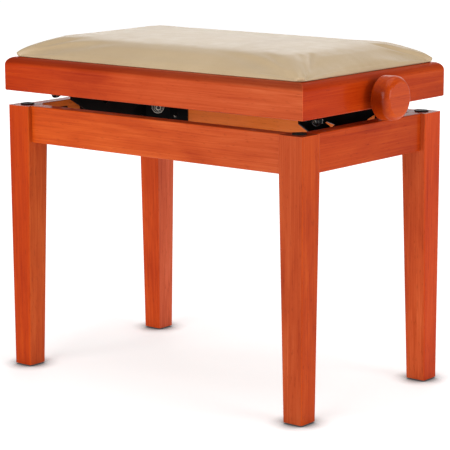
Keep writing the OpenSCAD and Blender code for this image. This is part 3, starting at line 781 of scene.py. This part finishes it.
def cover(middle, half_x, half_y, base):
    """The cover before it swells, open below: its corners, its faces, and the corners of
    the tucked edge, which the simulation holds."""
    steps = 60
    # Width of the sloped border, and where it starts on the grid, as a share of its half.
    slope_in, slope_out = 52 * MM, 0.62
    outer, inner = 9.0, 42.0                # corner radius of the cover's edge and of its top

    def ring(rho):
        """Half-length, half-width and corner radius of the ring rho, 0 at the middle."""
        if rho > slope_out:
            t = (1 - rho) / (1 - slope_out)
            inset = slope_in * t ** 1.35
            return half_x - inset, half_y - inset, (outer + (inner - outer) * t) * MM
        t = rho / slope_out
        return (half_x - slope_in) * t, (half_y - slope_in) * t, inner * MM * t

    verts, index = [], {}
    span = range(-steps, steps + 1)
    for i in span:
        for j in span:
            rho = max(abs(i), abs(j)) / steps
            x = y = 0.0
            if rho:
                hx, hy, radius = ring(rho)
                x, y = cushion_outline(hx, hy, radius, i / steps / rho, j / steps / rho)
            index[i, j] = len(verts)
            z = cushion_height((half_x - abs(x)) / MM, (half_y - abs(y)) / MM) * MM
            verts.append((middle.x + x, middle.y + y, base + z))
    faces = [(index[i, j], index[i + 1, j], index[i + 1, j + 1], index[i, j + 1])
             for i in span[:-1] for j in span[:-1]]
    edge = [(i, -steps) for i in range(-steps, steps)] + [(steps, j) for j in range(-steps, steps)]
    edge += [(i, steps) for i in range(steps, -steps, -1)]
    edge += [(-steps, j) for j in range(steps, -steps, -1)]
    last = [index[p] for p in edge]
    held = []
    # The round edge turns in and under: inset from the widest ring and height, in mm.
    tuck = [(-0.5, 5.4), (-0.3, 3.6), (0.8, 1.9), (2.4, 0.8), (4.4, 0.15), (7.0, 0.0), (14.0, 0.0)]
    for inset, z in tuck:
        now = []
        for i, j in edge:
            x, y = cushion_outline(half_x - inset * MM, half_y - inset * MM, outer * MM,
                                   i / steps, j / steps)
            now.append(len(verts))
            verts.append((middle.x + x, middle.y + y, base + z * MM + 0.05 * MM))
        for k in range(len(edge)):
            nxt = (k + 1) % len(edge)
            faces.append((last[nxt], last[k], now[k], now[nxt]))
        last = now
        if z < 1.0:
            held += now
    return verts, faces, held


def build_cushion():
    """The padded top: its cover swollen, subdivided, pleated and puckered at the edges and closed."""
    low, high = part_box("cushion")
    middle = (low + high) / 2
    nose = 4.0 * MM                         # how far the round edge overhangs the wooden rim
    half_x, half_y = (high.x - low.x) / 2 + nose, (high.y - low.y) / 2 + nose
    verts, faces, held = cover(middle, half_x, half_y, low.z)
    mesh = bpy.data.meshes.new("cushion_pad")
    mesh.from_pydata(verts, [], faces)
    mesh.materials.append(leatherette())
    mesh.shade_smooth()
    piece = bpy.data.objects.new("cushion_pad", mesh)
    bpy.context.scene.collection.objects.link(piece)
    inflate(piece, held)
    subdivide(piece)
    gather(piece, middle, half_x, half_y, low.z, high.z - low.z)
    close_below(piece)
    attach(piece, "seat")
    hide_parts("cushion")


def coordinates(mesh):
    flat = np.empty(3 * len(mesh.vertices))
    mesh.vertices.foreach_get("co", flat)
    return flat.reshape(-1, 3)


def set_coordinates(mesh, points):
    mesh.vertices.foreach_set("co", np.ascontiguousarray(points).reshape(-1))
    mesh.update()


def inflate(piece, held, pressure=4.0, frames=20, cap=6 * MM):
    """Swells the cover over its filling by cloth simulation, with its tucked edge held."""
    before = coordinates(piece.data)
    group = piece.vertex_groups.new(name="held")
    group.add(held, 1.0, "REPLACE")
    cloth = piece.modifiers.new("cloth", "CLOTH")
    settings = cloth.settings
    settings.use_pressure = True
    settings.uniform_pressure_force = pressure
    settings.effector_weights.gravity = 0.0
    settings.vertex_group_mass = "held"
    settings.mass = 0.3
    settings.tension_stiffness = settings.compression_stiffness = 25
    settings.bending_stiffness = 1.5
    cloth.collision_settings.use_collision = False
    scene = bpy.context.scene
    for now in range(1, frames + 1):
        scene.frame_set(now)
    swollen = bpy.data.meshes.new_from_object(
        piece.evaluated_get(bpy.context.evaluated_depsgraph_get()))
    move = coordinates(swollen) - before
    length = np.linalg.norm(move, axis=1, keepdims=True)
    move *= np.minimum(1.0, cap / np.maximum(length, 1e-9))
    print("cushion swelled by", round(float(length.max()) / MM, 2), "mm at most")
    piece.modifiers.remove(cloth)
    piece.vertex_groups.remove(group)
    bpy.data.meshes.remove(swollen)
    set_coordinates(piece.data, before + move)
    scene.frame_set(1)


def subdivide(piece):
    """One level of subdivision, applied."""
    finer = piece.modifiers.new("finer", "SUBSURF")
    finer.levels = finer.render_levels = 1
    mesh = bpy.data.meshes.new_from_object(
        piece.evaluated_get(bpy.context.evaluated_depsgraph_get()))
    piece.modifiers.remove(finer)
    rough, piece.data = piece.data, mesh
    bpy.data.meshes.remove(rough)
    mesh.name = piece.name


def close_below(piece):
    """Fills the opening under the pad with one flat face."""
    work = bmesh.new()
    work.from_mesh(piece.data)
    bmesh.ops.edgeloop_fill(work, edges=[e for e in work.edges if e.is_boundary])
    bmesh.ops.recalc_face_normals(work, faces=work.faces)
    work.to_mesh(piece.data)
    work.free()


# Puckers along the cover's edges: height and pitch in mm, and where the wave starts.
PUCKERS = ((0.16, 31.0, 0.4), (0.10, 19.0, 1.9), (0.10, 47.0, 3.0))
# Pleats round each corner: depth in mm, and direction and width in degrees.
PLEATS = ((-0.50, 45, 4.0), (-0.30, 60, 4.0), (-0.30, 30, 4.0))


def gather(piece, middle, half_x, half_y, base, tall):
    """Fits the cover to its height, and adds pleats at each corner and puckers along the
    edges."""
    mesh = piece.data
    points = coordinates(mesh)
    flat = np.empty(3 * len(mesh.vertices))
    mesh.vertices.foreach_get("normal", flat)
    normals = flat.reshape(-1, 3)
    points[:, 2] = base + (points[:, 2] - base) * tall / (points[:, 2].max() - base)
    x, y = (points[:, 0] - middle.x) / MM, (points[:, 1] - middle.y) / MM
    dx, dy = half_x / MM - np.abs(x), half_y / MM - np.abs(y)
    side = 1 / (1 + np.exp(-(dx - dy) / 6))            # 1 along the long edges, 0 along the short
    along = side * x + (1 - side) * y
    opposite = 2.1 * np.sign(side * y + (1 - side) * x)     # so that no two edges match
    near = np.maximum(np.minimum(dx, dy), 0.0)
    waves = sum(size * np.sin(2 * math.pi * along / pitch + start + opposite)
                for size, pitch, start in PUCKERS)
    push = waves * np.exp(-near / 13.0) * np.clip((points[:, 2] - base) / (6 * MM), 0, 1)
    reach = 34.0                                        # the pleats fan out from this far inside
    px, py = np.abs(x) - (half_x / MM - reach), np.abs(y) - (half_y / MM - reach)
    out = np.hypot(px, py)
    turn = np.degrees(np.arctan2(py, px))
    fold = np.clip((out - 22) / 16, 0, 1) ** 1.5
    inside = (px > 0) & (py > 0)
    lobes = sum(depth * np.exp(-((turn - at) / width) ** 2) for depth, at, width in PLEATS)
    push += np.where(inside, lobes * fold, 0.0) * np.clip((points[:, 2] - base) / (3 * MM), 0, 1)
    points += normals * (push * MM)[:, None]
    points[:, 2] = np.clip(points[:, 2], base + 0.03 * MM, base + tall)
    set_coordinates(mesh, points)


# ---------- studio ----------

# The camera as fitted to the photograph: its place, its turns in degrees and its lens in mm.
CAMERA_PLACE = (1.87248, -2.29713, 0.80016)
CAMERA_TURNS = (79.06, 0.25, 39.346)
CAMERA_LENS, SENSOR = 161.9, 36.0
# Each softbox: its place, the point that it aims at, its size in metres and its watts.
SOFTBOXES = {
    "top_softbox": ((0.3, 0.2, 2.8), (0, 0, 0.4), (2.6, 2.0), 22),
    "front_softbox": ((-0.2, -3.4, 1.5), (0, 0, 0.3), (2.6, 1.8), 62),
    "side_softbox": ((3.4, 0.3, 1.1), (0, 0, 0.3), (1.6, 1.6), 37),
    "back_softbox": ((-2.2, 3.6, 1.7), (0, 0, 0.4), (3.6, 1.5), 30),
}
FLOOR_REACH = 30.0
CONTACT_REACH = 0.03                        # how far the shadow under a foot spreads


def build_studio():
    """The camera, an even white surround, four softboxes and the floor."""
    scene = bpy.context.scene
    scene.view_settings.view_transform = "Standard"
    camera = bpy.data.objects.new("camera", bpy.data.cameras.new("camera"))
    scene.collection.objects.link(camera)
    scene.camera = camera
    camera.location = CAMERA_PLACE
    camera.rotation_euler = [math.radians(turn) for turn in CAMERA_TURNS]
    camera.data.sensor_width = SENSOR
    camera.data.lens = CAMERA_LENS

    world = bpy.data.worlds.new("studio")
    scene.world = world
    world.use_nodes = True
    background = world.node_tree.nodes["Background"]
    background.inputs["Color"].default_value = (1.0, 1.0, 1.0, 1.0)
    background.inputs["Strength"].default_value = 0.45

    for name, (place, target, size, power) in SOFTBOXES.items():
        softbox(name, place, target, size, power)
    build_floor()


def softbox(name, place, target, size, power):
    light = bpy.data.lights.new(name, "AREA")
    light.shape = "RECTANGLE"
    light.size, light.size_y = size
    light.energy = power
    lamp = bpy.data.objects.new(name, light)
    bpy.context.scene.collection.objects.link(lamp)
    lamp.location = place
    aim = Vector(target) - Vector(place)
    lamp.rotation_mode = "QUATERNION"
    lamp.rotation_quaternion = aim.to_track_quat("-Z", "Y")
    lamp.visible_camera = False


def build_floor():
    """Pale paper that glows a little more further out, with a painted contact shadow right under the
    feet.
    """
    mesh = bpy.data.meshes.new("floor")
    far = FLOOR_REACH
    mesh.from_pydata([(-far, -far, 0), (far, -far, 0), (far, far, 0), (-far, far, 0)], [],
                     [(0, 1, 2, 3)])
    g = Graph("floor_paper")
    shade = g.noise(g.place, 1.5, detail=2)
    colour = g.ramp(shade, [(0.3, (0.90, 0.90, 0.90)), (0.7, (0.93, 0.93, 0.93))])
    radius = g.node("VectorMath", operation="LENGTH")
    g.feed(radius.inputs[0], g.place)
    glow = g.remap(radius.outputs["Value"], 0.7, 3.5, 0.34, 0.62)
    # Painted contact shadow: the floor darker and glowing less where ambient occlusion finds the feet
    # close.
    contact = g.node("AmbientOcclusion", samples=16)
    contact.inputs["Distance"].default_value = CONTACT_REACH
    open_sky = g.remap(contact.outputs["AO"], 0.45, 1.0)
    glow = g.math("MULTIPLY", glow, g.math("ADD", g.math("MULTIPLY", open_sky, 0.9), 0.1))
    colour = g.mix(open_sky, (0.10, 0.10, 0.10), colour)
    g.feed(g.shader.inputs["Emission Strength"], glow)
    mesh.materials.append(g.surface(colour, 0.8, g.bump(g.noise(g.place, 300.0), 0.02, MM),
                                    Emission_Color=(1.0, 1.0, 1.0, 1.0), Specular_IOR_Level=0.2))
    floor = bpy.data.objects.new("floor", mesh)
    bpy.context.scene.collection.objects.link(floor)


build_studio()
ZINC, DARK = zinc(), dark_steel()
screws("bracket_screws", "base", DARK)
screws("end_bracket_screws", "base", DARK)
screws("seat_angle_screws", "seat", ZINC)
screws("block_screws", "seat", ZINC)
corner_bolts()
rail_fasteners()
build_spindle()
build_cushion()
dress_nodes()
